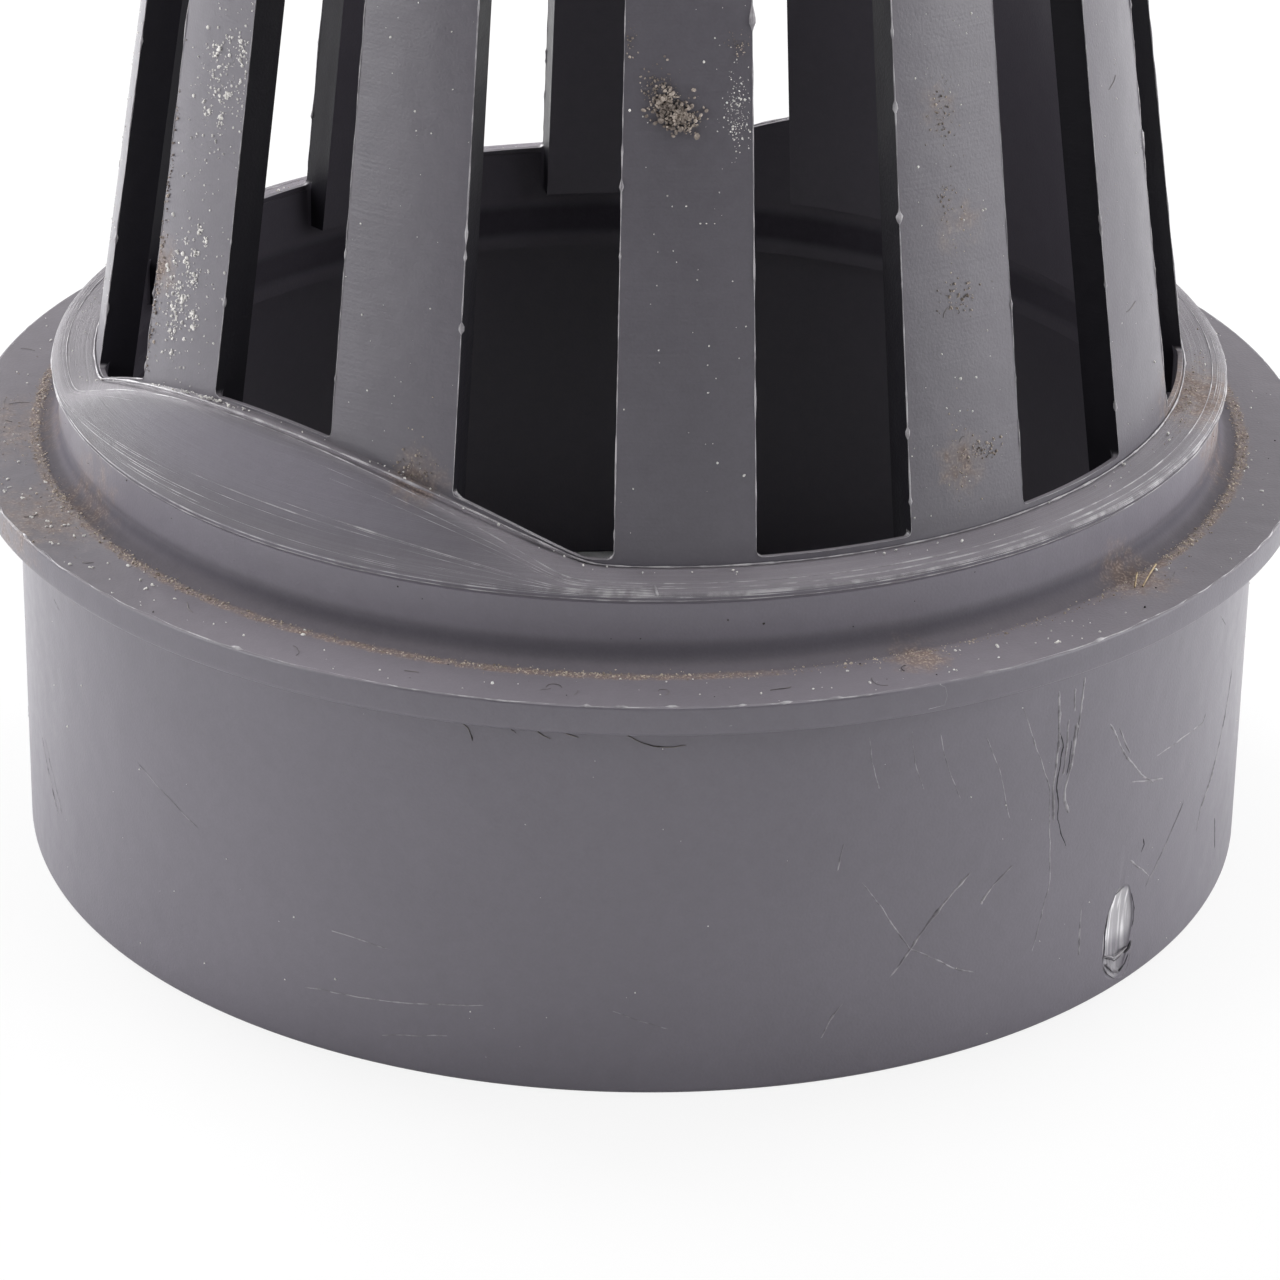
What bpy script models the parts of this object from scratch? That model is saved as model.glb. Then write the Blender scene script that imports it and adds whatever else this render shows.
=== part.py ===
"""Atrium grate: a domed drain grate moulded in one piece of grey plastic.

It stands on its spigot, the plain sleeve that pushes into a drain pipe. Above the
spigot come a flat flange, a short neck, a shoulder with a bead and a narrow shelf,
and a tapered dome of slats that closes in a solid crown. Two low humps rise from
the shoulder, opposite each other. The axis is +Z and the spigot's end is at z = 0.
A turn is an angle about Z, counted from the front (-Y) towards +X.
"""
import math

import bmesh
import bpy

# Flat sides of a whole turn and of one slot, and steps in the arcs.
TURN_STEPS = 96
SLOT_STEPS = 6
FILLET_STEPS = 3
CORNER_STEPS = 5
CROWN_STEPS = 3

# Spigot, the sleeve that goes into the pipe.
SPIGOT_RADIUS = 0.0550
SPIGOT_LENGTH = 0.0352
SPIGOT_WALL = 0.0030
SPIGOT_END_CHAMFER = 0.0006

# Flange that stops the grate on the pipe's mouth.
FLANGE_OVERHANG = 0.0041
FLANGE_THICKNESS = 0.0026
FLANGE_EDGE_CHAMFER = 0.0003

# Neck, set in from the spigot, with a fillet at its foot and a bead at its top.
NECK_SETBACK = 0.0037
NECK_HEIGHT = 0.0062
NECK_FILLET = 0.0018
BEAD_OVERHANG = 0.0005
BEAD_FACE = 0.0003

# Shoulder, rounded from the bead up to a narrow shelf round the slats.
SHOULDER_WIDTH = 0.0014
SHOULDER_RISE = 0.0006
SHELF_WIDTH = 0.0025
SHELF_RISE = 0.0003

# Dome: a tapered wall, a rounded corner and a shallow crown.
DOME_TAPER = math.radians(8.5)
DOME_WALL = 0.0030
DOME_WALL_HEIGHT = 0.0490
DOME_CORNER_RADIUS = 0.0200
CROWN_RADIUS = 0.0900
SLAT_FOOT_DROP = 0.0036

# Slots between the slats. A thin lip stands under each slot, and behind the lip a
# pocket runs down between the feet of the slats.
SLAT_COUNT = 12
SLAT_ANGLE = math.radians(13.8)
FIRST_SLAT_TURN = math.radians(4.75)
SLOT_CORNER_RADIUS = 0.0005
HUB_RADIUS = 0.0130
HUB_CORNER_RADIUS = 0.0010
LIP_HEIGHT = 0.0005
LIP_THICKNESS = 0.0005
POCKET_SETBACK = 0.0001

# Humps: each is an arc over the shoulder when it is seen along its own direction,
# and stands under the middle of a slot, so many slats round from the first one.
HUMP_SLATS = -1.5
HUMP_RISE = 0.0074
HUMP_HALF_WIDTH = 0.0280
HUMP_BLEND = 0.0003
HUMP_LIP = 0.0001
HUMP_FACE_STANDOFF = 0.0011
HUMP_COVE_HEIGHT = 0.0017
# How much of the hump's rise each point of the shoulder takes, from shelf to bead.
HUMP_LIFT_SHARES = (1.0, 0.85, 0.55, 0.25, 0.0)

# One overrun serves every cut.
CUT_OVERRUN = 0.0060
MERGE_DISTANCE = 0.000001
WELD_DISTANCE = 0.000005

GREY_PLASTIC = (0.165, 0.155, 0.175, 1.0)
PLASTIC_ROUGHNESS = 0.38
SHARP_EDGE = math.radians(30)

WHOLE_TURN = math.radians(360)
QUARTER_TURN = math.radians(90)

# Turns, heights and radii that follow from the sizes above.
SLAT_PITCH = WHOLE_TURN / SLAT_COUNT
FIRST_HUMP_TURN = FIRST_SLAT_TURN + HUMP_SLATS * SLAT_PITCH
HUMP_TURNS = (FIRST_HUMP_TURN, FIRST_HUMP_TURN + WHOLE_TURN / 2)
FLANGE_RADIUS = SPIGOT_RADIUS + FLANGE_OVERHANG
FLANGE_TOP = SPIGOT_LENGTH + FLANGE_THICKNESS
NECK_RADIUS = SPIGOT_RADIUS - NECK_SETBACK
BEAD_RADIUS = NECK_RADIUS + BEAD_OVERHANG
BEAD_TOP = FLANGE_TOP + NECK_HEIGHT
SHELF_EDGE_RADIUS = BEAD_RADIUS - SHOULDER_WIDTH
SHELF_EDGE_TOP = BEAD_TOP + SHOULDER_RISE
DOME_FOOT_RADIUS = SHELF_EDGE_RADIUS - SHELF_WIDTH
SHELF_TOP = SHELF_EDGE_TOP + SHELF_RISE
SLAT_FOOT = SHELF_TOP - SLAT_FOOT_DROP
DOME_WALL_TOP = SHELF_TOP + DOME_WALL_HEIGHT


def dome_radius(height):
    """Outer radius of the dome's tapered wall at a height."""
    return DOME_FOOT_RADIUS - (height - SHELF_TOP) * math.tan(DOME_TAPER)


def inner_radius(height):
    """Radius inside the neck. From the shelf up it tapers as the dome does."""
    return dome_radius(max(height, SHELF_TOP)) - LIP_THICKNESS


def hump_rise(turn, radius):
    """How far the shelf is raised at a turn and radius, blended into the plain ring."""
    arc_radius = (HUMP_HALF_WIDTH ** 2 + HUMP_RISE ** 2) / (2 * HUMP_RISE)
    level = -arc_radius
    for hump_turn in HUMP_TURNS:
        if math.cos(turn - hump_turn) > 0:
            offset = min(abs(radius * math.sin(turn - hump_turn)), arc_radius)
            arc_height = math.sqrt(arc_radius ** 2 - offset ** 2)
            level = max(level, HUMP_RISE - arc_radius + arc_height)
    return (level + math.hypot(level, 2 * HUMP_BLEND)) / 2


def slot_floor(turn):
    """Height of a slot's floor: the lip's top, or just above the shelf on a hump."""
    return SHELF_TOP + max(LIP_HEIGHT, hump_rise(turn, DOME_FOOT_RADIUS) + HUMP_LIP)


def cove_radius(height):
    """Radius of a hump's face, which sweeps in from the shelf's edge."""
    reach = SHELF_EDGE_RADIUS - dome_radius(SHELF_EDGE_TOP) - HUMP_FACE_STANDOFF
    fade = math.exp((SHELF_EDGE_TOP - height) / HUMP_COVE_HEIGHT)
    return dome_radius(height) + HUMP_FACE_STANDOFF + reach * fade


def arc(centre_radius, centre_height, radius, start, end, steps):
    """Points of an arc in the section's plane, as (radius, height) pairs."""
    points = []
    for step in range(steps + 1):
        angle = start + (end - start) * step / steps
        points.append((centre_radius + radius * math.cos(angle),
                       centre_height + radius * math.sin(angle)))
    return points


def shoulder_points(turn):
    """Shelf and shoulder at a turn, from the inner wall out and down to the bead."""
    shelf_top = SHELF_TOP + hump_rise(turn, DOME_FOOT_RADIUS)
    points = [(inner_radius(shelf_top), shelf_top)]
    round_over = arc(0, 0, 1, QUARTER_TURN, 0, len(HUMP_LIFT_SHARES) - 1)
    for (across, up), share in zip(round_over, HUMP_LIFT_SHARES):
        lift = share * hump_rise(turn, SHELF_EDGE_RADIUS)
        draw_in = SHELF_EDGE_RADIUS - cove_radius(SHELF_EDGE_TOP + lift)
        points.append((SHELF_EDGE_RADIUS + SHOULDER_WIDTH * across - draw_in,
                       BEAD_TOP + SHOULDER_RISE * up + lift))
    return points


def body_section(turn):
    """Closed section of spigot, flange, neck and shoulder at a turn."""
    points = shoulder_points(turn)
    points.append((BEAD_RADIUS, BEAD_TOP - BEAD_FACE))
    points.append((NECK_RADIUS, BEAD_TOP - BEAD_FACE - BEAD_OVERHANG))
    points += arc(NECK_RADIUS + NECK_FILLET, FLANGE_TOP + NECK_FILLET, NECK_FILLET,
                  2 * QUARTER_TURN, 3 * QUARTER_TURN, FILLET_STEPS)
    points += [
        (FLANGE_RADIUS - FLANGE_EDGE_CHAMFER, FLANGE_TOP),
        (FLANGE_RADIUS, FLANGE_TOP - FLANGE_EDGE_CHAMFER),
        (FLANGE_RADIUS, SPIGOT_LENGTH + FLANGE_EDGE_CHAMFER),
        (FLANGE_RADIUS - FLANGE_EDGE_CHAMFER, SPIGOT_LENGTH),
        (SPIGOT_RADIUS, SPIGOT_LENGTH),
        (SPIGOT_RADIUS, SPIGOT_END_CHAMFER),
        (SPIGOT_RADIUS - SPIGOT_END_CHAMFER, 0),
        (SPIGOT_RADIUS - SPIGOT_WALL, 0),
        (SPIGOT_RADIUS - SPIGOT_WALL, SPIGOT_LENGTH),
        (inner_radius(SPIGOT_LENGTH), SPIGOT_LENGTH),
    ]
    return points


def dome_profile():
    """Profile of the dome's shell, down its outer side and back up its inner side."""
    corner_radius = dome_radius(DOME_WALL_TOP) - DOME_CORNER_RADIUS * math.cos(DOME_TAPER)
    corner_height = DOME_WALL_TOP - DOME_CORNER_RADIUS * math.sin(DOME_TAPER)
    between_centres = CROWN_RADIUS - DOME_CORNER_RADIUS
    meeting = math.acos(corner_radius / between_centres)
    crown_height = corner_height - between_centres * math.sin(meeting)
    outer = arc(0, crown_height, CROWN_RADIUS, QUARTER_TURN, meeting, CROWN_STEPS)
    outer += arc(corner_radius, corner_height, DOME_CORNER_RADIUS,
                 meeting, DOME_TAPER, CORNER_STEPS)[1:]
    outer.append((dome_radius(SLAT_FOOT), SLAT_FOOT))
    inner = [(dome_radius(SLAT_FOOT) - DOME_WALL / math.cos(DOME_TAPER), SLAT_FOOT)]
    inner += arc(corner_radius, corner_height, DOME_CORNER_RADIUS - DOME_WALL,
                 DOME_TAPER, meeting, CORNER_STEPS)
    inner += arc(0, crown_height, CROWN_RADIUS - DOME_WALL,
                 meeting, QUARTER_TURN, CROWN_STEPS)[1:]
    return outer + inner


def slot_section(turn):
    """Section of a slot's cutter at a turn, with the pocket below the slot's floor."""
    floor = slot_floor(turn)
    outside = DOME_FOOT_RADIUS + CUT_OVERRUN
    pocket_end = SLAT_FOOT - CUT_OVERRUN
    above_crown = DOME_WALL_TOP + DOME_CORNER_RADIUS + CUT_OVERRUN
    return [
        (HUB_RADIUS, pocket_end),
        (inner_radius(SLAT_FOOT) + POCKET_SETBACK, pocket_end),
        (inner_radius(SHELF_TOP) + POCKET_SETBACK, SHELF_TOP),
        (inner_radius(floor) + POCKET_SETBACK, floor),
        (outside, floor),
        (outside, above_crown),
        (HUB_RADIUS, above_crown),
    ]


# Corners of the slot's section between which its rounded edges run: down the pocket's
# outer wall and out along the floor, and beside the hub.
SLOT_FLOOR_CORNERS = {1, 2, 3, 4}
SLOT_HUB_CORNERS = {0, 6}


def new_collection(name):
    """A new collection in the scene."""
    collection = bpy.data.collections.new(name)
    bpy.context.scene.collection.children.link(collection)
    return collection


def new_object(name, mesh_data, collection):
    """Make an object of a bmesh and free the bmesh."""
    mesh = bpy.data.meshes.new(name)
    mesh_data.to_mesh(mesh)
    mesh_data.free()
    made = bpy.data.objects.new(name, mesh)
    collection.objects.link(made)
    return made


def hide_helper(helper):
    """Show a cutter or helper as wire only, and keep it out of renders."""
    helper.hide_render = True
    helper.display_type = "WIRE"


def place_at(turn, radius, height):
    """The point at a turn, a radius and a height."""
    return (radius * math.sin(turn), -radius * math.cos(turn), height)


def section_corners(mesh_data, place, section, turn):
    """New vertices for a section at a turn, each marked with its place in it."""
    corners = []
    for index, (radius, height) in enumerate(section):
        corner = mesh_data.verts.new(place_at(turn, radius, height))
        corner[place] = index
        corners.append(corner)
    return corners


def draw_to_section(vertices, place, section_at):
    """Move spun vertices to the section that belongs at their own turn."""
    for vertex in vertices:
        turn = math.atan2(vertex.co.x, -vertex.co.y)
        radius, height = section_at(turn)[vertex[place]]
        vertex.co = place_at(turn, radius, height)


def make_body(collection):
    """Spin the section once round, and draw the copies at the humps up to them."""
    mesh_data = bmesh.new()
    place = mesh_data.verts.layers.int.new("place_in_section")
    corners = section_corners(mesh_data, place, body_section(0), 0)
    edges = [mesh_data.edges.new((corners[index - 1], corner))
             for index, corner in enumerate(corners)]
    bmesh.ops.spin(mesh_data, geom=corners + edges, cent=(0, 0, 0), axis=(0, 0, 1),
                   angle=WHOLE_TURN, steps=TURN_STEPS, use_merge=True)
    draw_to_section(mesh_data.verts, place, body_section)
    bmesh.ops.recalc_face_normals(mesh_data, faces=mesh_data.faces)
    return new_object("atrium_grate", mesh_data, collection)


def make_dome(collection):
    """Turn the dome's shell with a Screw modifier."""
    mesh_data = bmesh.new()
    corners = [mesh_data.verts.new((radius, 0, height)) for radius, height in dome_profile()]
    for start, end in zip(corners, corners[1:]):
        mesh_data.edges.new((start, end))
    dome = new_object("dome_shell", mesh_data, collection)
    turned = dome.modifiers.new("turned", "SCREW")
    turned.steps = TURN_STEPS
    turned.render_steps = TURN_STEPS
    turned.use_merge_vertices = True
    turned.merge_threshold = MERGE_DISTANCE
    hide_helper(dome)
    return dome


def add_slot_cutter(mesh_data, place, first_turn):
    """Spin one slot's cutter, and round its corners at the foot and at the hub."""
    corners = section_corners(mesh_data, place, slot_section(first_turn), first_turn)
    face = mesh_data.faces.new(corners)
    before = set(mesh_data.verts) - set(corners)
    bmesh.ops.spin(mesh_data, geom=[face], cent=(0, 0, 0), axis=(0, 0, 1),
                   angle=SLAT_PITCH - SLAT_ANGLE, steps=SLOT_STEPS)
    cutter = [vertex for vertex in mesh_data.verts if vertex not in before]
    draw_to_section(cutter, place, slot_section)
    caps = {found for vertex in cutter for found in vertex.link_faces
            if len(found.verts) == len(corners)}
    cap_edges = [edge for cap in caps for edge in cap.edges]
    floor_edges = [edge for edge in cap_edges
                   if {vertex[place] for vertex in edge.verts} <= SLOT_FLOOR_CORNERS]
    hub_edges = [edge for edge in cap_edges
                 if {vertex[place] for vertex in edge.verts} <= SLOT_HUB_CORNERS]
    for edges, radius in ((floor_edges, SLOT_CORNER_RADIUS), (hub_edges, HUB_CORNER_RADIUS)):
        bmesh.ops.bevel(mesh_data, geom=edges, offset=radius, segments=FILLET_STEPS,
                        affect="EDGES", profile=0.5, material=-1)


def make_slot_cutters(collection):
    """All slots' cutters as one object of separate solids."""
    mesh_data = bmesh.new()
    place = mesh_data.verts.layers.int.new("place_in_section")
    for index in range(SLAT_COUNT):
        first_turn = FIRST_SLAT_TURN + SLAT_ANGLE / 2 + index * SLAT_PITCH
        add_slot_cutter(mesh_data, place, first_turn)
    bmesh.ops.recalc_face_normals(mesh_data, faces=mesh_data.faces)
    cutters = new_object("slot_cutters", mesh_data, collection)
    hide_helper(cutters)
    return cutters


def add_boolean(target, helper, operation):
    """Join a helper to an object, or cut it out of the object."""
    boolean = target.modifiers.new(helper.name, "BOOLEAN")
    boolean.operation = operation
    boolean.object = helper
    boolean.solver = "EXACT"


def add_weld(target):
    """Close the hair-fine edges that a join leaves where two facets meet in a point."""
    weld = target.modifiers.new("weld", "WELD")
    weld.merge_threshold = WELD_DISTANCE


def make_plastic():
    """Grey moulded plastic with a dull gloss."""
    material = bpy.data.materials.new("grey_plastic")
    material.use_nodes = True
    shader = material.node_tree.nodes["Principled BSDF"]
    shader.inputs["Base Color"].default_value = GREY_PLASTIC
    shader.inputs["Roughness"].default_value = PLASTIC_ROUGHNESS
    shader.inputs["Metallic"].default_value = 0.0
    return material


def make_grate():
    """The whole grate: the body joined to the slotted dome."""
    parts = new_collection("atrium_grate")
    helpers = new_collection("cutters_and_helpers")
    dome = make_dome(helpers)
    add_boolean(dome, make_slot_cutters(helpers), "DIFFERENCE")
    grate = make_body(parts)
    add_boolean(grate, dome, "UNION")
    add_weld(grate)
    grate.data.materials.append(make_plastic())
    grate.data.shade_smooth()
    grate.data.set_sharp_from_angle(angle=SHARP_EDGE)


for old_object in list(bpy.data.objects):
    bpy.data.objects.remove(old_object, do_unlink=True)
make_grate()
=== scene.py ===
"""Dresses the atrium grate as it is photographed: a worn moulding in grey plastic, with
sand in its corners, moulding flash on its edges and scratches on its spigot."""
import math
import random

import bmesh
import bpy
from mathutils import Euler, Matrix, Vector
from mathutils import noise as ripple


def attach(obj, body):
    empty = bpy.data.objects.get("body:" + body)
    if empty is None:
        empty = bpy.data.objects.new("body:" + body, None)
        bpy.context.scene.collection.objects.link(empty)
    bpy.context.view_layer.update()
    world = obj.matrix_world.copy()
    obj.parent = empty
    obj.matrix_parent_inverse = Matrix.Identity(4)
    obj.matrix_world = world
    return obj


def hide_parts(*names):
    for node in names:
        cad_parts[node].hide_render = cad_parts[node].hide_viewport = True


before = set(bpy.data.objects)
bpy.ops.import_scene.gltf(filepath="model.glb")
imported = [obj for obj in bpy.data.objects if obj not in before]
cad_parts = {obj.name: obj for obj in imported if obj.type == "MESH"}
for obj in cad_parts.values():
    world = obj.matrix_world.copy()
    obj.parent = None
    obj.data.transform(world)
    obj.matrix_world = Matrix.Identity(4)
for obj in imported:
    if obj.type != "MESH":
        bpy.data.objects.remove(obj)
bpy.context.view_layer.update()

# Camera.
# It looks down at the grate's foot from the front. The top of the dome is above
# the picture, and the flange runs out of it on both sides.
camera_distance = 0.48307
camera_rise = math.radians(27.409)
camera_roll = math.radians(-0.943)
aim_up = math.radians(1.627)
aim_left = math.radians(-0.083)
sensor_width = 36.0
focal_length = 147.24

look = Vector((0, math.cos(camera_rise), -math.sin(camera_rise)))
camera_data = bpy.data.cameras.new("camera")
camera_data.sensor_width = sensor_width
camera_data.lens = focal_length
camera = bpy.data.objects.new("camera", camera_data)
bpy.context.scene.collection.objects.link(camera)
camera.matrix_world = (
    Matrix.Translation(look * -camera_distance)
    @ Matrix.Rotation(camera_roll, 4, look)
    @ Matrix.Rotation(math.radians(90) - camera_rise + aim_up, 4, "X")
    @ Matrix.Rotation(aim_left, 4, "Y"))
bpy.context.scene.camera = camera

# Floor, sky and lamps.
# A white floor that the grate stands on, with large soft lamps at both sides, behind
# and above. The camera sees the floor and the sky as white. The floor inside the spigot
# has no glow of its own, because it is in the grate's shade.
bpy.context.scene.view_settings.view_transform = "Standard"
floor_size = 6.0
floor_white = (0.80, 0.80, 0.80, 1.0)
floor_roughness = 0.9
white = (1.0, 1.0, 1.0, 1.0)
shadow_share = 0.14
sky_strength = 0.02
dark_floor_radius = 0.0545
lamp_target = Vector((0, 0, 0.04))
lamps = [
    # name, place, size, watts
    ("lamp_left", (-0.85, -0.15, 0.25), 0.60, 3.0),
    ("lamp_front_left", (-0.78, -0.42, 0.25), 0.42, 2.2),
    ("lamp_front_right", (0.78, -0.42, 0.25), 0.42, 0.6),
    ("lamp_left_back", (-0.60, 0.65, 0.35), 0.60, 11.4),
    ("lamp_right", (0.85, -0.15, 0.25), 0.60, 5.5),
    ("lamp_right_back", (0.60, 0.65, 0.35), 0.60, 7.3),
    ("lamp_top", (0.0, 0.10, 1.00), 0.70, 7.1),
    ("lamp_back", (0.0, 0.90, 0.50), 0.80, 1.2),
]

floor_mesh = bpy.data.meshes.new("floor")
shape = bmesh.new()
bmesh.ops.create_grid(shape, x_segments=1, y_segments=1, size=floor_size / 2)
shape.to_mesh(floor_mesh)
shape.free()
floor = bpy.data.objects.new("floor", floor_mesh)
bpy.context.scene.collection.objects.link(floor)

floor_material = bpy.data.materials.new("white_floor")
floor_material.use_nodes = True
nodes = floor_material.node_tree.nodes
links = floor_material.node_tree.links
floor_shader = nodes["Principled BSDF"]
floor_shader.inputs["Base Color"].default_value = floor_white
floor_shader.inputs["Roughness"].default_value = floor_roughness
floor_shader.inputs["Specular IOR Level"].default_value = 0.0
glow = nodes.new("ShaderNodeEmission")
glow.inputs["Color"].default_value = white
ray = nodes.new("ShaderNodeLightPath")
share = nodes.new("ShaderNodeMath")
share.operation = "MULTIPLY"
share.inputs[1].default_value = 1 - shadow_share
mix = nodes.new("ShaderNodeMixShader")
where = nodes.new("ShaderNodeTexCoord")
reach = nodes.new("ShaderNodeVectorMath")
reach.operation = "LENGTH"
outside = nodes.new("ShaderNodeMath")
outside.operation = "GREATER_THAN"
outside.inputs[1].default_value = dark_floor_radius
seen = nodes.new("ShaderNodeMath")
seen.operation = "MULTIPLY"
links.new(where.outputs["Object"], reach.inputs[0])
links.new(reach.outputs["Value"], outside.inputs[0])
links.new(outside.outputs[0], seen.inputs[0])
links.new(ray.outputs["Is Camera Ray"], seen.inputs[1])
links.new(seen.outputs[0], share.inputs[0])
links.new(share.outputs[0], mix.inputs[0])
links.new(floor_shader.outputs[0], mix.inputs[1])
links.new(glow.outputs[0], mix.inputs[2])
links.new(mix.outputs[0], nodes["Material Output"].inputs["Surface"])
floor_mesh.materials.append(floor_material)

sky = bpy.data.worlds.new("sky")
bpy.context.scene.world = sky
sky.use_nodes = True
nodes = sky.node_tree.nodes
links = sky.node_tree.links
backdrop = nodes["Background"]
backdrop.inputs["Color"].default_value = white
ray = nodes.new("ShaderNodeLightPath")
level = nodes.new("ShaderNodeMapRange")
level.inputs["To Min"].default_value = sky_strength
level.inputs["To Max"].default_value = 1.0
links.new(ray.outputs["Is Camera Ray"], level.inputs["Value"])
links.new(level.outputs["Result"], backdrop.inputs["Strength"])

for name, place, size, watts in lamps:
    lamp_data = bpy.data.lights.new(name, "AREA")
    lamp_data.shape = "SQUARE"
    lamp_data.size = size
    lamp_data.energy = watts
    lamp = bpy.data.objects.new(name, lamp_data)
    bpy.context.scene.collection.objects.link(lamp)
    lamp.location = place
    lamp.rotation_euler = (lamp_target - Vector(place)).to_track_quat("-Z", "Y").to_euler()
    lamp.visible_camera = False

# The moulding.
# One piece of grey plastic, moulded whole: spigot, flange, neck, shoulder with two humps,
# and slatted dome. It is spun in fine steps, with its small edges rounded and its slots
# and the scraped notch near its end cut out.
whole_turn = math.radians(360)
quarter_turn = math.radians(90)
spigot_radius = 0.0550
spigot_length = 0.0352
spigot_wall = 0.0030
flange_radius = 0.0591
flange_top = 0.0378
neck_radius = 0.0513
neck_fillet = 0.0018
bead_radius = 0.0518
bead_top = 0.0440
bead_face = 0.0003
shelf_edge_radius = 0.0504
shelf_edge_top = 0.0446
shelf_top = 0.0449
dome_foot_radius = 0.0479
dome_taper = math.radians(8.5)
dome_wall = 0.0030
dome_wall_top = 0.0939
dome_corner_radius = 0.0200
crown_radius = 0.0900
slat_foot = 0.0413
slat_count = 12
slat_angle = math.radians(13.8)
slat_pitch = whole_turn / slat_count
first_slat_turn = math.radians(4.75)
slot_corner_radius = 0.0005
hub_radius = 0.0130
hub_corner_radius = 0.0010
lip_height = 0.0005
lip_thickness = 0.0005
pocket_setback = 0.0001
hump_turn = first_slat_turn - 1.5 * slat_pitch
hump_height = 0.0074
hump_half_width = 0.0280
hump_blend = 0.0003
hump_lip = 0.0001
hump_standoff = 0.0011
hump_cove = 0.0017
overrun = 0.0060
slot_width = slat_pitch - slat_angle
shelf_edge_round = 0.0004
bead_round = 0.0002
rim_top_round = 0.00025
rim_foot_round = 0.0005
spigot_end_round = 0.0006
bore_end_round = 0.0003
spigot_ring_shares = (0.9, 0.4)
shoulder_steps = 12
body_steps = 600
dome_steps = 360
corner_steps = 14
crown_steps = 10
slot_steps = 18
slot_corner_segments = 6
doubles_distance = 0.000001
weld_distance = 0.000005
sharp_angle = math.radians(28)


def dome_radius(height):
    return dome_foot_radius - (height - shelf_top) * math.tan(dome_taper)


def inner_radius(height):
    return dome_radius(max(height, shelf_top)) - lip_thickness


def hump_rise(turn, radius):
    arc_radius = (hump_half_width ** 2 + hump_height ** 2) / (2 * hump_height)
    offset = min(abs(radius * math.sin(turn - hump_turn)), arc_radius)
    level = hump_height - arc_radius + math.sqrt(arc_radius ** 2 - offset ** 2)
    return (level + math.hypot(level, 2 * hump_blend)) / 2


def slot_floor(turn):
    return shelf_top + max(lip_height, hump_rise(turn, dome_foot_radius) + hump_lip)


def cove_radius(height):
    reach = shelf_edge_radius - dome_radius(shelf_edge_top) - hump_standoff
    fade = math.exp((shelf_edge_top - height) / hump_cove)
    return dome_radius(height) + hump_standoff + reach * fade


def arc(centre_radius, centre_height, radius, start, end, steps):
    return [(centre_radius + radius * math.cos(start + (end - start) * step / steps),
             centre_height + radius * math.sin(start + (end - start) * step / steps))
            for step in range(steps + 1)]


def rounded(before, corner, after, size, steps):
    """Points that round a corner of a section, never past the middle of a side."""
    before, corner, after = Vector(before), Vector(corner), Vector(after)
    ends = []
    for other in (before, after):
        side = other - corner
        ends.append(corner + side * min(size / max(side.length, size), 0.5))
    points = []
    for step in range(steps + 1):
        share = step / steps
        points.append(ends[0] * (1 - share) ** 2 + corner * (2 * share * (1 - share))
                      + ends[1] * share ** 2)
    return [tuple(point) for point in points]


def body_section(turn):
    shelf_height = shelf_top + hump_rise(turn, dome_foot_radius)
    rise = hump_rise(turn, shelf_edge_radius)
    shelf = (inner_radius(shelf_height), shelf_height)
    shoulder = []
    for step in range(shoulder_steps + 1):
        angle = quarter_turn * step / shoulder_steps
        lift = rise * (1 + math.cos(2 * angle)) / 2
        draw_in = shelf_edge_radius - cove_radius(shelf_edge_top + lift)
        shoulder.append((shelf_edge_radius + (bead_radius - shelf_edge_radius) * math.sin(angle)
                         - draw_in,
                         bead_top + (shelf_edge_top - bead_top) * math.cos(angle) + lift))
    points = [shelf]
    points += rounded(shelf, shoulder[0], shoulder[1], shelf_edge_round, 4)
    points += shoulder[1:-1]
    bead_foot = (bead_radius, bead_top - bead_face)
    points += rounded(shoulder[-2], shoulder[-1], bead_foot, bead_round, 2)
    neck_top = (neck_radius, bead_top - bead_face - (bead_radius - neck_radius))
    points += rounded(shoulder[-1], bead_foot, neck_top, bead_round, 2)
    points.append(neck_top)
    points += arc(neck_radius + neck_fillet, flange_top + neck_fillet, neck_fillet,
                  2 * quarter_turn, 3 * quarter_turn, 8)
    inner_edge = (neck_radius + neck_fillet, flange_top)
    rim_top = (flange_radius, flange_top)
    rim_foot = (flange_radius, spigot_length)
    spigot_top = (spigot_radius, spigot_length)
    points += rounded(inner_edge, rim_top, rim_foot, rim_top_round, 4)
    points += rounded(rim_top, rim_foot, spigot_top, rim_foot_round, 5)
    spigot_end = (spigot_radius, 0)
    bore_end = (spigot_radius - spigot_wall, 0)
    bore_top = (spigot_radius - spigot_wall, spigot_length)
    points.append(spigot_top)
    points += [(spigot_radius, spigot_length * share) for share in spigot_ring_shares]
    points += rounded(spigot_top, spigot_end, bore_end, spigot_end_round, 5)
    points += rounded(spigot_end, bore_end, bore_top, bore_end_round, 3)
    points.append(bore_top)
    points.append((inner_radius(spigot_length), spigot_length))
    return points


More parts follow.
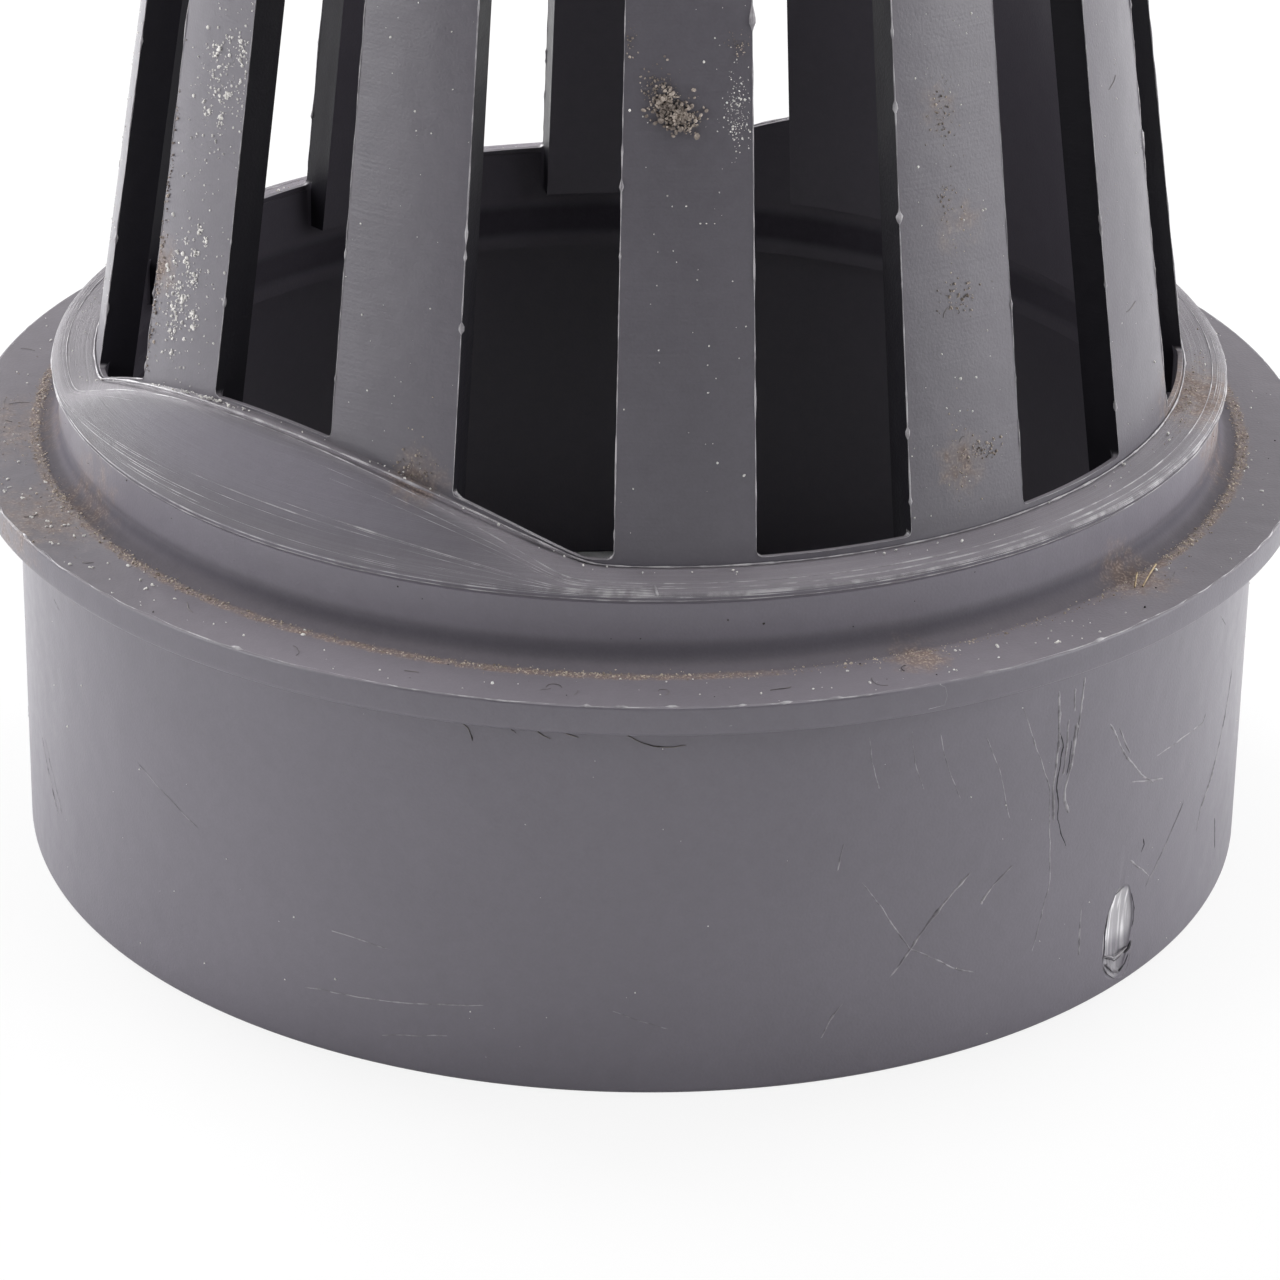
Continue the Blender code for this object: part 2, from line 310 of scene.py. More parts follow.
def dome_profile():
    corner_radius = dome_radius(dome_wall_top) - dome_corner_radius * math.cos(dome_taper)
    corner_height = dome_wall_top - dome_corner_radius * math.sin(dome_taper)
    between_centres = crown_radius - dome_corner_radius
    meeting = math.acos(corner_radius / between_centres)
    crown_height = corner_height - between_centres * math.sin(meeting)
    outer = arc(0, crown_height, crown_radius, quarter_turn, meeting, crown_steps)
    outer += arc(corner_radius, corner_height, dome_corner_radius,
                 meeting, dome_taper, corner_steps)[1:]
    outer.append((dome_radius(slat_foot), slat_foot))
    inner = [(dome_radius(slat_foot) - dome_wall / math.cos(dome_taper), slat_foot)]
    inner += arc(corner_radius, corner_height, dome_corner_radius - dome_wall,
                 dome_taper, meeting, corner_steps)
    inner += arc(0, crown_height, crown_radius - dome_wall,
                 meeting, quarter_turn, crown_steps)[1:]
    return outer + inner


def slot_section(turn):
    floor_height = slot_floor(turn)
    outside = dome_foot_radius + overrun
    pocket_end = slat_foot - overrun
    above = dome_wall_top + dome_corner_radius + overrun
    return [(hub_radius, pocket_end),
            (inner_radius(slat_foot) + pocket_setback, pocket_end),
            (inner_radius(shelf_top) + pocket_setback, shelf_top),
            (inner_radius(floor_height) + pocket_setback, floor_height),
            (outside, floor_height),
            (outside, above),
            (hub_radius, above)]


def place_at(turn, radius, height):
    return Vector((radius * math.sin(turn), -radius * math.cos(turn), height))


def spin_section(shape, section_at, start, angle, steps, closed):
    """Turns a section and moves each copy to the section for its own turn."""
    layer = shape.verts.layers.int.get("place") or shape.verts.layers.int.new("place")
    old = set(shape.verts)
    corners = []
    for index, (radius, height) in enumerate(section_at(start)):
        corner = shape.verts.new(place_at(start, radius, height))
        corner[layer] = index
        corners.append(corner)
    if closed:
        geom = corners + [shape.edges.new((corners[index - 1], corner))
                          for index, corner in enumerate(corners)]
    else:
        geom = [shape.faces.new(corners)]
    bmesh.ops.spin(shape, geom=geom, cent=(0, 0, 0), axis=(0, 0, 1), angle=angle,
                   steps=steps, use_merge=closed)
    made = [vertex for vertex in shape.verts if vertex not in old]
    for vertex in made:
        turn = math.atan2(vertex.co.x, -vertex.co.y)
        radius, height = section_at(turn)[vertex[layer]]
        vertex.co = place_at(turn, radius, height)
    return made, len(corners), layer


def new_object(name, shape):
    mesh = bpy.data.meshes.new(name)
    shape.to_mesh(mesh)
    shape.free()
    made = bpy.data.objects.new(name, mesh)
    bpy.context.scene.collection.objects.link(made)
    return made


def joined(target, helper, operation):
    boolean = target.modifiers.new(operation.lower(), "BOOLEAN")
    boolean.operation = operation
    boolean.object = helper
    boolean.solver = "EXACT"


def settle(target):
    """Writes an object's modifiers into its mesh."""
    graph = bpy.context.evaluated_depsgraph_get()
    mesh = bpy.data.meshes.new_from_object(target.evaluated_get(graph))
    target.modifiers.clear()
    target.data = mesh


shape = bmesh.new()
spin_section(shape, body_section, 0, whole_turn, body_steps, True)
bmesh.ops.recalc_face_normals(shape, faces=shape.faces)
moulding = new_object("moulding", shape)

shape = bmesh.new()
profile = dome_profile()
corners = [shape.verts.new((radius, 0, height)) for radius, height in profile]
edges = [shape.edges.new(pair) for pair in zip(corners, corners[1:])]
bmesh.ops.spin(shape, geom=corners + edges, cent=(0, 0, 0), axis=(0, 0, 1),
               angle=whole_turn, steps=dome_steps, use_merge=True)
bmesh.ops.remove_doubles(shape, verts=shape.verts, dist=doubles_distance)
bmesh.ops.recalc_face_normals(shape, faces=shape.faces)
dome = new_object("dome", shape)

shape = bmesh.new()
for index in range(slat_count):
    start = first_slat_turn + slat_angle / 2 + index * slat_pitch
    made, count, layer = spin_section(shape, slot_section, start, slot_width, slot_steps, False)
    ends = [edge for edge in shape.edges
            if any(len(side.verts) == count for side in edge.link_faces)
            and edge.verts[0] in made]
    floor_edges = [edge for edge in ends
                   if {vertex[layer] for vertex in edge.verts} <= {1, 2, 3, 4}]
    hub_edges = [edge for edge in ends
                 if {vertex[layer] for vertex in edge.verts} <= {0, count - 1}]
    for group, size in ((floor_edges, slot_corner_radius), (hub_edges, hub_corner_radius)):
        bmesh.ops.bevel(shape, geom=group, offset=size, segments=slot_corner_segments,
                        affect="EDGES", profile=0.5, material=-1)
bmesh.ops.recalc_face_normals(shape, faces=shape.faces)
slots = new_object("slots", shape)

notch_turn = math.radians(49.4)
notch_height = 0.0055
notch_size = (0.0021, 0.0006, 0.0046)
notch_lean = math.radians(4)
notch_stand_off = 0.0001
notch_unevenness = 0.05
shape = bmesh.new()
bmesh.ops.create_icosphere(shape, subdivisions=5, radius=1)
for vertex in shape.verts:
    vertex.co *= 1 + notch_unevenness * ripple.noise(vertex.co * 2)
bmesh.ops.transform(shape, verts=shape.verts, matrix=(
    Matrix.Translation(place_at(notch_turn, spigot_radius + notch_stand_off, notch_height))
    @ Matrix.Rotation(notch_turn, 4, "Z") @ Matrix.Rotation(notch_lean, 4, "Y")
    @ Matrix.Diagonal((*notch_size, 1))))
notch = new_object("notch", shape)

joined(dome, slots, "DIFFERENCE")
settle(dome)
joined(moulding, dome, "UNION")
joined(moulding, notch, "DIFFERENCE")
settle(moulding)
for helper in (dome, slots, notch):
    bpy.data.objects.remove(helper)
shape = bmesh.new()
shape.from_mesh(moulding.data)
bmesh.ops.remove_doubles(shape, verts=shape.verts, dist=weld_distance)
bmesh.ops.dissolve_degenerate(shape, edges=shape.edges, dist=weld_distance)
shape.to_mesh(moulding.data)
shape.free()
moulding.data.shade_smooth()
moulding.data.set_sharp_from_angle(angle=sharp_angle)
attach(moulding, "root")
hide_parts("atrium_grate")


class Mask:
    """A value that changes over a surface. Its sums and products are shader nodes."""

    def __init__(self, socket):
        self.socket = socket
        self.tree = socket.id_data

    def __add__(self, other):
        return combined("ADD", self, other)

    def __sub__(self, other):
        return combined("SUBTRACT", self, other)

    def __rsub__(self, other):
        return combined("SUBTRACT", other, self)

    def __mul__(self, other):
        return combined("MULTIPLY", self, other)

    def __truediv__(self, other):
        return combined("DIVIDE", self, other)

    def __pow__(self, other):
        return combined("POWER", self, other)

    def __abs__(self):
        return combined("ABSOLUTE", self, 0)

    __radd__ = __add__
    __rmul__ = __mul__


def combined(operation, first, second):
    """A maths node from two masks, or from a mask and a number."""
    tree = (first if isinstance(first, Mask) else second).tree
    node = tree.nodes.new("ShaderNodeMath")
    node.operation = operation
    for socket, value in zip(node.inputs, (first, second)):
        if isinstance(value, Mask):
            tree.links.new(value.socket, socket)
        else:
            socket.default_value = value
    return Mask(node.outputs["Value"])


def highest(first, second):
    return combined("MAXIMUM", first, second)


def eased(mask, border):
    """Runs smoothly from 0 to 1 while a mask goes from the border's start to its end."""
    node = mask.tree.nodes.new("ShaderNodeMapRange")
    node.interpolation_type = "SMOOTHSTEP"
    node.inputs["From Min"].default_value, node.inputs["From Max"].default_value = border
    mask.tree.links.new(mask.socket, node.inputs["Value"])
    return Mask(node.outputs["Result"])


def noise(place, scale, detail, stretch=(1, 1, 1), across=None):
    """Noise at a place, which can be stretched. A mask taken as across makes it streaky."""
    tree = place.id_data
    squash = tree.nodes.new("ShaderNodeVectorMath")
    squash.operation = "MULTIPLY"
    squash.inputs[1].default_value = stretch
    tree.links.new(place, squash.inputs[0])
    node = tree.nodes.new("ShaderNodeTexNoise")
    tree.links.new(squash.outputs["Vector"], node.inputs["Vector"])
    node.inputs["Scale"].default_value = scale
    node.inputs["Detail"].default_value = detail
    if across is not None:
        node.noise_dimensions = "4D"
        tree.links.new(across.socket, node.inputs["W"])
    return Mask(node.outputs["Fac"])


def blended(mask, first, second):
    """Mixes two colours, or a colour and another node's colour, by a mask."""
    node = mask.tree.nodes.new("ShaderNodeMix")
    node.data_type = "RGBA"
    mask.tree.links.new(mask.socket, node.inputs["Factor"])
    for socket, value in ((node.inputs["A"], first), (node.inputs["B"], second)):
        if isinstance(value, bpy.types.NodeSocket):
            mask.tree.links.new(value, socket)
        else:
            socket.default_value = (*value, 1)
    return node.outputs["Result"]


def split(vector):
    node = vector.id_data.nodes.new("ShaderNodeSeparateXYZ")
    vector.id_data.links.new(vector, node.inputs[0])
    return [Mask(output) for output in node.outputs]


plain_grey = (0.113, 0.105, 0.124)
faded_grey = (0.142, 0.130, 0.146)
shaded_grey = (0.074, 0.067, 0.083)
slot_shade_black = (0.014, 0.013, 0.017)
sheen_streak_grey = (0.230, 0.218, 0.236)
scraped_grey = (0.640, 0.630, 0.645)
grime_brown = (0.150, 0.114, 0.102)
pale_grime = (0.290, 0.232, 0.200)
grime_spots = [
    # turn in degrees, radius, height, reach, strength
    (-64, 0.0555, 0.0378, 0.0120, 0.52),
    (-84, 0.0560, 0.0378, 0.0140, 0.42),
    (78, 0.0492, 0.0449, 0.0130, 0.65),
    (51, 0.0535, 0.0378, 0.0060, 0.65),
    (25, 0.0544, 0.0378, 0.0045, 0.70),
    (-22, 0.0470, 0.0505, 0.0045, 0.60),
    (34, 0.0469, 0.0505, 0.0045, 0.60),
    (35, 0.0440, 0.0700, 0.0050, 0.35),
    (33, 0.0428, 0.0800, 0.0040, 0.35),
    (-61, 0.0456, 0.0600, 0.0050, 0.60),
    (150, 0.0550, 0.0378, 0.0120, 0.70),
    (-150, 0.0490, 0.0449, 0.0120, 0.70),
]
# Soft borders in metres: heights, radii, and places across and along the grate.
slot_foot_heights = (0.0380, 0.0400)
slot_floor_heights = (0.0400, 0.0410)
slot_floor_top_heights = (0.066, 0.070)
rim_heights = (0.0360, 0.0372)
flange_heights = (0.0384, 0.0394)
dull_flange_heights = (0.0390, 0.0410)
corner_heights = (0.0388, 0.0402)
neck_heights = (0.0394, 0.0404)
bead_heights = (0.0434, 0.0440)
slat_heights = (0.0450, 0.0462)
shelf_heights = (0.0452, 0.0462)
brushed_heights = (0.0455, 0.0470)
notch_top_heights = (0.0105, 0.0110)
torn_heights = (0.0040, 0.0055)
notch_radii = (0.05480, 0.05496)
neck_radii = (0.0514, 0.0517)
corner_radii = (0.0529, 0.0535)
foot_radius = 0.0535
foot_reach = (0.0002, 0.0010)
behind_wall = (-0.0006, -0.0003)
before_wall = (0.0002, 0.0005)
bare_start_across = (0.009, 0.014)
bare_end_across = (0.036, 0.042)
bare_along = (0.0, -0.01)
front_slats_across = (-0.010, 0.002)
front_slats_along = (-0.034, -0.042)
hump_end_across = (-0.024, -0.013)
side_across = (0.022, 0.052)
band_density = 4500
band_lean = 0.7
sheen_streak_strength = 0.48
foot_grime = 0.56
bare_loss = 0.42
speckle_in_grime = 0.9
# Changes of the tone. Besides the random ones, they are painted light, which makes a
# part paler, and painted shade, which makes it darker.
even_tone = 0.74
soft_tone = 0.20
speckled_tone = 0.18
fine_tone = 0.14
spigot_painted_light = 0.42
spigot_painted_light_fall = 4.5
shelf_painted_light = 0.42
steep_painted_light = 0.50
hump_end_shade = 0.22
neck_painted_light = 0.33
flange_painted_light = 0.20
flange_side_shade = 0.55
shoulder_side_shade = 0.42
front_slats_shade = 0.11
corner_shade = 0.22
even_roughness = 0.29
speckled_roughness = 0.14
shoulder_roughness = 0.15
streak_gloss = 0.12
dirt_roughness = 0.9
even_shine = 0.5
lost_shine = 0.45
flange_dullness = 0.70
shoulder_dullness = 0.55
slot_dullness = 0.75
dent_relief = 3.0
fine_relief = 0.5
brushed_relief = 0.5
band_relief = 1.6
relief_strength = 0.50
relief_depth = 0.00006

plastic = bpy.data.materials.new("worn_grey_plastic")
plastic.use_nodes = True
tree = plastic.node_tree
shader = tree.nodes["Principled BSDF"].inputs
place = tree.nodes.new("ShaderNodeTexCoord").outputs["Object"]
across, along, height = split(place)
radius = combined("SQRT", across ** 2 + along ** 2, 0)
geometry = tree.nodes.new("ShaderNodeNewGeometry").outputs


def facing(normal):
    """How far a surface faces outward, and how far up."""
    normal_across, normal_along, upward = split(normal)
    return (normal_across * across + normal_along * along) / radius, upward


outward, upward = facing(geometry["Normal"])
flat_outward, flat_upward = facing(geometry["True Normal"])
exposed = eased(highest(outward, upward), (0.15, 0.55))
soft = noise(place, 70, 2)
speckled = noise(place, 900, 3)
fine = noise(place, 4200, 1)
dents = noise(place, 260, 1)
brushed = noise(place, 220, 2, stretch=(0.35, 0.35, 14))
streaks_up = noise(place, 2600, 1, stretch=(1, 1, 0.03))
bands = noise(place, 12, 2, across=(radius * band_lean - height) * band_density)

wall = dome_foot_radius - (height - shelf_top) * math.tan(dome_taper)
on_shoulder = eased(radius - wall, before_wall) * eased(height, bead_heights)
below_bead = 1 - eased(height, bead_heights)
above_rim = eased(height, rim_heights)
on_low_parts = 1 - eased(height, flange_heights)
in_slot = (1 - eased(radius - wall, behind_wall)) * eased(flat_upward, (0.02, 0.14))
in_slot = in_slot * eased(height, slot_floor_heights) * (1 - eased(height, slot_floor_top_heights))
slot_side = (1 - eased(abs(flat_outward), (0.12, 0.40))) * (1 - eased(flat_upward, (0.60, 0.80)))
slot_side = highest(slot_side * eased(height, slot_foot_heights), in_slot)
faded = eased(upward, (0.35, 0.9)) * (soft * 0.6 + 0.6) * (1 - in_slot)
streaked = eased(bands, (0.48, 0.66)) * on_shoulder * (0.45 + eased(soft, (0.30, 0.60)) * 0.55)
streaked = streaked * highest(eased(upward, (0.25, 0.60)), 1 - eased(height, shelf_heights))
scraped = (1 - eased(radius, notch_radii)) * exposed * (1 - eased(height, notch_top_heights))
scraped = scraped * (0.35 + eased(streaks_up, (0.42, 0.58)) * 0.65)
scraped = scraped * (0.3 + eased(height, torn_heights) * 0.7)
in_corner = (1 - eased(height, corner_heights)) * (1 - eased(radius, corner_radii)) * above_rim

bare = eased(across, bare_start_across) * (1 - eased(across, bare_end_across))
bare = bare * eased(along, bare_along)
grime = (1 - eased(abs(radius - foot_radius), foot_reach)) * on_low_parts * above_rim
grime = grime * (foot_grime - bare * bare_loss)
for turn, spot_radius, spot_height, spot_reach, strength in grime_spots:
    away = tree.nodes.new("ShaderNodeVectorMath")
    away.operation = "DISTANCE"
    away.inputs[1].default_value = place_at(math.radians(turn), spot_radius, spot_height)
    tree.links.new(place, away.inputs[0])
    spot = 1 - eased(Mask(away.outputs["Value"]), (0.0, spot_reach))
    grime = highest(grime, spot * strength)
grime = grime * exposed
patchy = eased(grime + speckled * speckle_in_grime, (0.55, 1.25)) * eased(grime, (0.02, 0.25))

colour = blended(exposed, shaded_grey, plain_grey)
# Painted shade: the slots' sides and floors are near black.
colour = blended(slot_side, colour, slot_shade_black)
colour = blended(faded, colour, faded_grey)
# Painted sheen: paler streaks round the shoulder, over the fine ridges of its bump.
colour = blended(streaked * sheen_streak_strength, colour, sheen_streak_grey)
colour = blended(scraped, colour, scraped_grey)
dirt = blended(eased(fine, (0.45, 0.75)), grime_brown, pale_grime)
colour = blended(patchy, colour, dirt)

to_side = eased(abs(across), side_across)
on_shelf = on_shoulder * eased(upward, (0.45, 0.85))
on_steep_part = on_shoulder * (1 - eased(upward, (0.3, 0.6)))
on_neck = (1 - eased(radius, neck_radii)) * eased(height, neck_heights) * below_bead
on_flange = eased(upward, (0.6, 0.9)) * on_low_parts
on_front_slats = eased(height, slat_heights) * eased(along, front_slats_along)
tint = even_tone + soft * soft_tone + speckled * speckled_tone + fine * fine_tone
# Painted light: paler below the bead, most towards the spigot's end.
tint += below_bead * (spigot_painted_light - height * spigot_painted_light_fall) * exposed
# Painted light: the shelf is paler.
tint += on_shelf * shelf_painted_light
# Painted light on the shoulder's steep faces, with painted shade taking some of it back away from the far
# left.
tint += on_steep_part * (steep_painted_light - eased(across, hump_end_across) * hump_end_shade)
# Painted light: the neck is paler.
tint += on_neck * exposed * neck_painted_light
# Painted light on the flange's top at the front, and painted shade at its sides.
tint += on_flange * (flange_painted_light - to_side * flange_side_shade)
tint -= on_front_slats * eased(across, front_slats_across) * front_slats_shade
tint -= on_shoulder * to_side * shoulder_side_shade
tint -= in_corner * corner_shade
tone = tree.nodes.new("ShaderNodeHueSaturation")
tree.links.new(colour, tone.inputs["Color"])
tree.links.new(tint.socket, tone.inputs["Value"])
tree.links.new(tone.outputs["Color"], shader["Base Color"])

roughness = even_roughness + speckled * speckled_roughness + on_shoulder * shoulder_roughness
roughness = highest(roughness - streaked * streak_gloss, patchy * dirt_roughness)
roughness = highest(roughness, in_corner * dirt_roughness)
tree.links.new(roughness.socket, shader["Roughness"])
dull = highest(in_corner, faded * (1 - eased(height, dull_flange_heights)) * flange_dullness)
dull = highest(highest(dull, on_shoulder * shoulder_dullness), slot_side * slot_dullness)
tree.links.new((even_shine - dull * lost_shine).socket, shader["Specular IOR Level"])

relief = dents * dent_relief + fine * fine_relief
relief += brushed * eased(height, brushed_heights) * brushed_relief
relief += bands * on_shoulder * band_relief
bump = tree.nodes.new("ShaderNodeBump")
bump.inputs["Strength"].default_value = relief_strength
bump.inputs["Distance"].default_value = relief_depth
tree.links.new(relief.socket, bump.inputs["Height"])
tree.links.new(bump.outputs["Normal"], shader["Normal"])
moulding.data.materials.clear()
moulding.data.materials.append(plastic)

# Flash and burrs.
# Thin fins of the same plastic, left where the parts of the mould met: round every slot,
# on the flange's rim and on the bead, with fine ridges round the shoulder and a line at the
# slats' foot. They are drawn as lines of uneven thickness, paler than the plastic: their
# paleness is a painted highlight along these edges.
flash_size = 0.00008
flash_spacing = 0.00035
flash_swing = 0.00004
floor_flash_share = 0.35
bend_share = 0.3
floor_steps = 10
rim_burr_size = 0.00008
rim_burr_inset = 0.00020
rim_burr_drop = 0.00003
rim_burr_swing = 0.00024
rim_burr_steps = 900
rim_nubs = (39.8, 15.7, 11.9, 8.4, 3.0, -1.1, -3.6, -33.0, -61.0, 75.0, 140.0, -120.0)
rim_nub_reach = 0.35
rim_nub_share = 1.6
bead_burr_size = 0.00005
bead_burr_inset = 0.00002
bead_burr_swing = 0.00003
bead_burr_share = 1.5
foot_line_stand_off = 0.00013
foot_line_share = 2.6
bead_burr_steps = 720
burr_waves = 420
nub_waves = 900
nub_shift = Vector((3, 7, 1))
least_nub = 0.42
burr_highlight_grey = (0.220, 0.208, 0.226)
pale_burr_highlight_grey = (0.430, 0.415, 0.435)

mottling = bpy.data.node_groups.new("mottling", "ShaderNodeTree")
for name, kind in (("First", "NodeSocketColor"), ("Second", "NodeSocketColor"),
                   ("Scale", "NodeSocketFloat"), ("Dullness", "NodeSocketFloat")):
    mottling.interface.new_socket(name, in_out="INPUT", socket_type=kind)
for name, kind in (("Color", "NodeSocketColor"), ("Roughness", "NodeSocketFloat"),
                   ("Normal", "NodeSocketVector")):
    mottling.interface.new_socket(name, in_out="OUTPUT", socket_type=kind)
given = mottling.nodes.new("NodeGroupInput")
put_out = mottling.nodes.new("NodeGroupOutput")
scaled = mottling.nodes.new("ShaderNodeVectorMath")
scaled.operation = "SCALE"
mottling.links.new(mottling.nodes.new("ShaderNodeTexCoord").outputs["Object"], scaled.inputs[0])
mottling.links.new(given.outputs["Scale"], scaled.inputs["Scale"])
patches = noise(scaled.outputs["Vector"], 1, 3)
patched = blended(eased(patches, (0.38, 0.64)), given.outputs["First"], given.outputs["Second"])
mottling.links.new(patched, put_out.inputs["Color"])
roughness = Mask(given.outputs["Dullness"]) + (patches - 0.5) * 0.2
mottling.links.new(roughness.socket, put_out.inputs["Roughness"])
bump = mottling.nodes.new("ShaderNodeBump")
bump.inputs["Strength"].default_value = 0.5
bump.inputs["Distance"].default_value = 0.00003
mottling.links.new(noise(scaled.outputs["Vector"], 4, 2).socket, bump.inputs["Height"])
mottling.links.new(bump.outputs["Normal"], put_out.inputs["Normal"])


def mottled(name, first, second, scale, dullness):
    """A dull material that wanders between two colours."""
    material = bpy.data.materials.new(name)
    material.use_nodes = True
    nodes = material.node_tree.nodes
    effect = nodes.new("ShaderNodeGroup")
    effect.node_tree = mottling
    effect.inputs["First"].default_value = (*first, 1)
    effect.inputs["Second"].default_value = (*second, 1)
    effect.inputs["Scale"].default_value = scale
    effect.inputs["Dullness"].default_value = dullness
    for socket_name, target in (("Color", "Base Color"), ("Roughness", "Roughness"),
                                ("Normal", "Normal")):
        material.node_tree.links.new(effect.outputs[socket_name],
                                     nodes["Principled BSDF"].inputs[target])
    return material


def new_strands(name, thickness, material, roundness=0):
    """A curve for thin lines, and their thickness, which each point scales."""
    curve = bpy.data.curves.new(name, "CURVE")
    curve.dimensions = "3D"
    curve.bevel_depth = 1.0
    curve.bevel_resolution = roundness
    curve.use_fill_caps = True
    curve.materials.append(material)
    made = bpy.data.objects.new(name, curve)
    bpy.context.scene.collection.objects.link(made)
    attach(made, "root")
    return curve, thickness


def strand(strands, points, sizes, closed=False):
    """Adds one line, as thick at each point as its share of the strands' thickness."""
    curve, thickness = strands
    line = curve.splines.new("POLY")
    line.points.add(len(points) - 1)
    line.use_cyclic_u = closed
    for target, point, size in zip(line.points, points, sizes):
        target.co = (*point, 1)
        target.radius = size * thickness


def evenly(points, spacing):
    """Points at an even spacing along a line through the given ones."""
    points = [Vector(point) for point in points]
    result = [points[0]]
    for start, end in zip(points, points[1:]):
        steps = max(1, round((end - start).length / spacing))
        result += [start.lerp(end, step / steps) for step in range(1, steps + 1)]
    return result


def ragged(points, swing, low, nub):
    """Shifts a line's points outward a little and gives each a thickness, with nubs."""
    moved, sizes = [], []
    for point in points:
        wander = ripple.noise(point * burr_waves)
        lump = max(0.0, ripple.noise(point * nub_waves + nub_shift) - least_nub)
        outward = Vector((point.x, point.y, 0)).normalized()
        moved.append(point + outward * swing * wander)
        sizes.append(max(low, 0.60 + 0.8 * wander) + nub * lump)
    return moved, sizes


# Painted highlight: the fins and ridges are paler than the plastic.
flash_highlight_plastic = mottled("flash_highlight_plastic", burr_highlight_grey, pale_burr_highlight_grey, 700, 0.45)
flash = new_strands("slot_flash", flash_size, flash_highlight_plastic)
outer_profile = [point for point in profile[:len(profile) // 2] if point[0] > hub_radius + hub_corner_radius]
corner_turn = slot_corner_radius / dome_foot_radius
for index in range(slat_count):
    start = first_slat_turn + slat_angle / 2 + index * slat_pitch
    outline = []
    for turn, sign in ((start, 1), (start + slot_width, -1)):
        foot = slot_floor(turn + sign * corner_turn)
        side = [point for point in outer_profile if point[1] > foot + slot_corner_radius]
        side.append((dome_radius(foot + slot_corner_radius), foot + slot_corner_radius))
        side = [place_at(turn, *point) for point in side]
        side.append(place_at(turn + sign * corner_turn * bend_share, dome_radius(foot),
                             foot + slot_corner_radius * bend_share))
        if sign > 0:
            outline += side
            for step in range(floor_steps + 1):
                along_floor = (turn + corner_turn
                               + (slot_width - 2 * corner_turn) * step / floor_steps)
                level = slot_floor(along_floor)
                outline.append(place_at(along_floor, dome_radius(level), level))
        else:
            outline += reversed(side)
    points, sizes = ragged(evenly(outline, flash_spacing), flash_swing, 0.35, 9.0)
    thin_below = slot_floor(start + slot_width / 2) + hump_height / 4
    sizes = [size * (floor_flash_share if point.z < thin_below else 1)
             for point, size in zip(points, sizes)]
    strand(flash, points, sizes)


def ring(steps, radius, level_at):
    """Points all round the grate, each at the level for its turn."""
    turns = [whole_turn * step / steps for step in range(steps)]
    return [place_at(turn, radius, level_at(turn)) for turn in turns]


burrs = new_strands("rim_burr", rim_burr_size, flash_highlight_plastic)
points, sizes = ragged(ring(rim_burr_steps, flange_radius - rim_burr_inset,
                            lambda turn: flange_top - rim_burr_drop), rim_burr_swing, 0.50, 4.5)
for index, point in enumerate(points):
    turn = math.degrees(math.atan2(point.x, -point.y))
    if min(abs(turn - nub_turn) for nub_turn in rim_nubs) < rim_nub_reach:
        sizes[index] += rim_nub_share
    across = Vector((point.x, point.y, 0))
    inside = across.normalized() * (flange_radius - sizes[index] * rim_burr_size)
    if across.length > inside.length:
        points[index] = Vector((inside.x, inside.y, point.z))
strand(burrs, points, sizes, closed=True)
beads = new_strands("bead_burr", bead_burr_size, flash_highlight_plastic)
for radius, level_at, nub, share in (
        (bead_radius - bead_burr_inset, lambda turn: bead_top, 1.5, bead_burr_share),
        (bead_radius - bead_burr_inset, lambda turn: bead_top - bead_face, 1.5, bead_burr_share),
        (dome_foot_radius + foot_line_stand_off,
         lambda turn: shelf_top + hump_rise(turn, dome_foot_radius), 2.0, foot_line_share)):
    points, sizes = ragged(ring(bead_burr_steps, radius, level_at), bead_burr_swing, 0.5, nub)
    strand(beads, points, [size * share for size in sizes], closed=True)


ridge_count = 110
ridge_steps_per_degree = 2
least_ridge_steps = 8
ridge_taper = 8
ridge_end_share = 0.1
ridge_waves = 300
step_turn = 1.7
step_lean = 0.0006
step_start = 5.0


def ridge(curve, share, row, start, end):
    """A thin ridge round the shoulder. Its row counts the points of the body's section."""
    steps = max(least_ridge_steps, int(abs(end - start) * ridge_steps_per_degree))
    points = []
    for step in range(steps + 1):
        turn = math.radians(start + (end - start) * step / steps)
        section = body_section(turn)
        inner, outer = Vector(section[int(row)]), Vector(section[int(row) + 1])
        points.append(place_at(turn, *inner.lerp(outer, row - int(row))))
    sizes = [share * min(1, ridge_taper * min(step, steps - step) / steps + ridge_end_share)
             * max(0.25, 0.8 + ripple.noise(point * ridge_waves))
             for step, point in enumerate(points)]
    strand(curve, points, sizes)


rim_step_inset = 0.00007
rim_step_spacing = 0.0002
rim_step_marks = ((24.4, 0.0377), (24.9, 0.0374), (25.1, 0.0366), (24.9, 0.0358), (23.5, 0.0357))
brushing = random.Random(77)
ridge(beads, 1.2, 5.0, -180, 180)
for row in (9.5, 13.6, 14.4, 15.2):
    ridge(beads, 0.8, row, brushing.uniform(-12, 5), brushing.uniform(45, 100))
for _ in range(ridge_count):
    start = brushing.uniform(-180, 180)
    share = brushing.uniform(0.25, 0.7)
    row = brushing.choice((brushing.uniform(6, 16), brushing.uniform(12, 16)))
    ridge(beads, share, row, start, start + brushing.uniform(6, 40))
for row in (11.0, 13.0, 14.8):
    ridge(beads, 1.4, row, -step_start, step_turn)
section = body_section(math.radians(step_turn))[7:16]
points = [place_at(math.radians(step_turn) + step_lean * index, *point)
          for index, point in enumerate(section)]
strand(beads, points, [0.8, 1.6, 2.0, 1.5, 2.4, 2.0, 2.8, 2.2, 1.0])
points = evenly([place_at(math.radians(turn), flange_radius - rim_step_inset, level)
                 for turn, level in rim_step_marks], rim_step_spacing)
strand(burrs, points, [1.1] * len(points))

